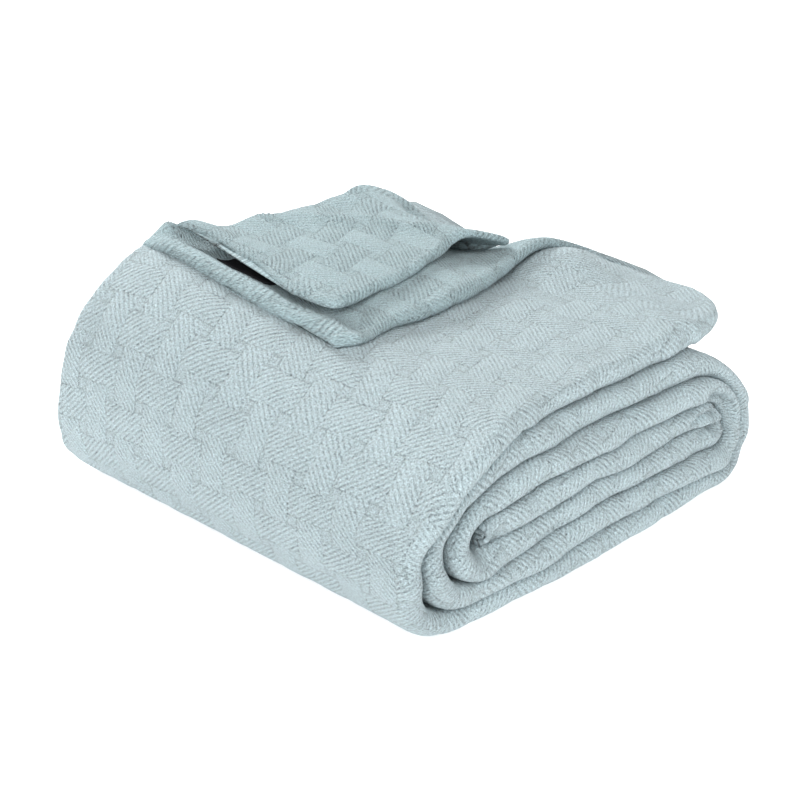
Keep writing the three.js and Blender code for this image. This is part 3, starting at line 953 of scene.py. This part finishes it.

    # Painted shade darkens the rib valleys, the slits, the gaps and their edges; fuzz and specks vary the
    # tone at random
    shade = do("SUBTRACT", 1.0, product(sunk, bold, PAINTED_SHADE_AND_TONE["valley"]))
    shade = do("SUBTRACT", shade, do("MULTIPLY", slits, PAINTED_SHADE_AND_TONE["slit"]))
    shade = do("SUBTRACT", shade, do("MULTIPLY", gap, PAINTED_SHADE_AND_TONE["gap"]))
    shade = do("SUBTRACT", shade, do("MULTIPLY", gap_edge, PAINTED_SHADE_AND_TONE["gap_edge"]))
    shade = do("ADD", shade, do("MULTIPLY", do("SUBTRACT", fuzz, 0.5), PAINTED_SHADE_AND_TONE["fuzz"]))
    shade = do("ADD", shade, do("MULTIPLY", do("SUBTRACT", speck, 0.5), PAINTED_SHADE_AND_TONE["speck"]))
    tree.links.new(shade, made.inputs["Shade"])
    return tree


def new_material(name):
    """A material with its node tree."""
    material = bpy.data.materials.new(name)
    material.use_nodes = True
    return material, material.node_tree


def cloth_material(settings):
    """Matt cotton in the basket weave, with painted shade in its weave's hollows; its other face darker and
    bluer, partly its own tone and partly painted shade over the turned-back end.
    """
    material, tree = new_material("Basket weave cotton")
    shader = tree.nodes["Principled BSDF"]
    shader.inputs["Roughness"].default_value = 0.95
    shader.inputs["Sheen Weight"].default_value = 0.25
    shader.inputs["Sheen Roughness"].default_value = 0.5
    shader.inputs["Specular IOR Level"].default_value = 0.2
    flat = tree.nodes.new("ShaderNodeUVMap")
    flat.uv_map = WEAVE_MAP
    weave = tree.nodes.new("ShaderNodeGroup")
    weave.node_tree = basket_group()
    weave.inputs["Puff"].default_value = settings.puff / MM
    weave.inputs["Rib depth"].default_value = settings.rib_depth / MM
    weave.inputs["Gap depth"].default_value = DEPTHS["gap"]
    weave.inputs["Fuzz"].default_value = DEPTHS["fuzz"]
    weave.inputs["Pucker"].default_value = DEPTHS["pucker"]
    tree.links.new(flat.outputs["UV"], weave.inputs["Weave place"])
    turned = tree.nodes.new("ShaderNodeAttribute")
    turned.attribute_name = TURNED_BACK_MAP
    tree.links.new(turned.outputs["Fac"], weave.inputs["Turned back"])
    tint = tree.nodes.new("ShaderNodeMix")
    tint.data_type = "RGBA"
    tint.blend_type = "MULTIPLY"
    tint.inputs["Factor"].default_value = 1.0
    # The turned-back end takes the other face's colour, which is partly painted shade
    faces = tree.nodes.new("ShaderNodeMix")
    faces.data_type = "RGBA"
    faces.inputs["A"].default_value = settings.cloth_colour
    faces.inputs["B"].default_value = settings.other_face_and_shade_colour
    tree.links.new(turned.outputs["Fac"], faces.inputs["Factor"])
    tree.links.new(faces.outputs["Result"], tint.inputs["A"])
    shade = tree.nodes.new("ShaderNodeCombineColor")
    for channel in ("Red", "Green", "Blue"):
        tree.links.new(weave.outputs["Shade"], shade.inputs[channel])
    tree.links.new(shade.outputs["Color"], tint.inputs["B"])
    tree.links.new(tint.outputs["Result"], shader.inputs["Base Color"])
    bump = tree.nodes.new("ShaderNodeBump")
    bump.inputs["Distance"].default_value = MM
    tree.links.new(weave.outputs["Height"], bump.inputs["Height"])
    tree.links.new(bump.outputs["Normal"], shader.inputs["Normal"])
    return material


def label_material(settings):
    """Plain black tape with a fine rib."""
    material, tree = new_material("Woven black tape")
    shader = tree.nodes["Principled BSDF"]
    shader.inputs["Base Color"].default_value = settings.label_colour
    shader.inputs["Roughness"].default_value = 0.9
    shader.inputs["Specular IOR Level"].default_value = 0.1
    flat = tree.nodes.new("ShaderNodeUVMap")
    flat.uv_map = WEAVE_MAP
    grain = node(tree, "ShaderNodeTexWave", Scale=14.0, Distortion=0.5)
    tree.links.new(flat.outputs["UV"], grain.inputs["Vector"])
    bump = tree.nodes.new("ShaderNodeBump")
    bump.inputs["Distance"].default_value = LABEL["rib_depth"] * MM
    tree.links.new(grain.outputs["Fac"], bump.inputs["Height"])
    tree.links.new(bump.outputs["Normal"], shader.inputs["Normal"])
    return material


# The stage, in metres, watts and degrees. Each light is a square: its place, its side and its power.
LIGHTS = (
    ("key_light", (0.42, 1.15, 0.8), 0.5, 25),
    ("left_light", (-1.2, -0.5, 0.9), 1.2, 21),
    ("right_light", (0.5, -1.3, 0.7), 1.2, 11),
)
LIT_POINT = (0, 0, 0.05)
WORLD_STRENGTH = 0.37
FLOOR_REACH = 3
FLOOR_GLOW = 0.5
CAMERA = {"place": (-0.64816, -0.63775, 0.44655), "azimuth": -45.2, "elevation": 24, "nearest": 0.05}
LENS = {"length": 81, "sensor": 36}


def square_light(name, place, side, power):
    """A soft square light that looks at the throw."""
    lamp = bpy.data.lights.new(name, "AREA")
    lamp.size = side
    lamp.energy = power
    light = bpy.data.objects.new(name, lamp)
    light.location = place
    light.rotation_mode = "QUATERNION"
    light.rotation_quaternion = (Vector(LIT_POINT) - Vector(place)).to_track_quat("-Z", "Y")
    return light


def pale_floor(colour):
    """A wide white floor with a faint glow."""
    bm = bmesh.new()
    bmesh.ops.create_grid(bm, x_segments=1, y_segments=1, size=FLOOR_REACH)
    mesh = bpy.data.meshes.new("floor")
    bm.to_mesh(mesh)
    bm.free()
    material, tree = new_material("Pale floor")
    shader = tree.nodes["Principled BSDF"]
    shader.inputs["Base Color"].default_value = colour
    shader.inputs["Roughness"].default_value = 0.9
    shader.inputs["Emission Color"].default_value = (1, 1, 1, 1)
    shader.inputs["Emission Strength"].default_value = FLOOR_GLOW
    mesh.materials.append(material)
    return bpy.data.objects.new("floor", mesh)


def white_world():
    """An even white sky."""
    world = bpy.data.worlds.new("Studio")
    world.use_nodes = True
    background = world.node_tree.nodes["Background"]
    background.inputs["Color"].default_value = (1, 1, 1, 1)
    background.inputs["Strength"].default_value = WORLD_STRENGTH
    return world


def aimed_camera():
    """The camera, turned by its azimuth and elevation."""
    lens = bpy.data.cameras.new("camera")
    lens.lens = LENS["length"]
    lens.sensor_width = LENS["sensor"]
    lens.clip_start = CAMERA["nearest"]
    camera = bpy.data.objects.new("camera", lens)
    azimuth, elevation = math.radians(CAMERA["azimuth"]), math.radians(CAMERA["elevation"])
    ahead = Vector((
        -math.sin(azimuth) * math.cos(elevation),
        math.cos(azimuth) * math.cos(elevation),
        -math.sin(elevation),
    ))
    camera.location = CAMERA["place"]
    camera.rotation_mode = "QUATERNION"
    camera.rotation_quaternion = ahead.to_track_quat("-Z", "Y")
    return camera


class BuildStage(bpy.types.Operator):
    """Builds the pale floor, the soft lights and the camera"""

    bl_idname = "throw.stage"
    bl_label = "Stage"

    def execute(self, context):
        scene = context.scene
        scene.view_settings.view_transform = "Standard"
        scene.world = white_world()
        floor = pale_floor(scene.throw.floor_colour)
        lights = [square_light(*light) for light in LIGHTS]
        camera = aimed_camera()
        for made in (floor, *lights, camera):
            scene.collection.objects.link(made)
        scene.camera = camera
        return {"FINISHED"}


class ThrowPanel(bpy.types.Panel):
    """Lists the throw's pieces"""

    bl_idname = "VIEW3D_PT_throw"
    bl_label = "Cotton throw"
    bl_space_type = "VIEW_3D"
    bl_region_type = "UI"
    bl_category = "Throw"

    def draw(self, context):
        settings = context.scene.throw
        for name in settings.bl_rna.properties.keys():
            if name not in {"rna_type", "name"}:
                self.layout.prop(settings, name)
        for operator in (BuildCloth, BuildLabel, BuildStage):
            self.layout.operator(operator.bl_idname)


CLASSES = (ThrowSettings, BuildCloth, BuildLabel, BuildStage, ThrowPanel)


def register():
    for made in CLASSES:
        bpy.utils.register_class(made)
    bpy.types.Scene.throw = bpy.props.PointerProperty(type=ThrowSettings)


def unregister():
    del bpy.types.Scene.throw
    for made in reversed(CLASSES):
        bpy.utils.unregister_class(made)


def main():
    register()
    bpy.ops.throw.cloth()
    bpy.ops.throw.label()
    bpy.ops.throw.stage()


if __name__ == "__main__":
    main()
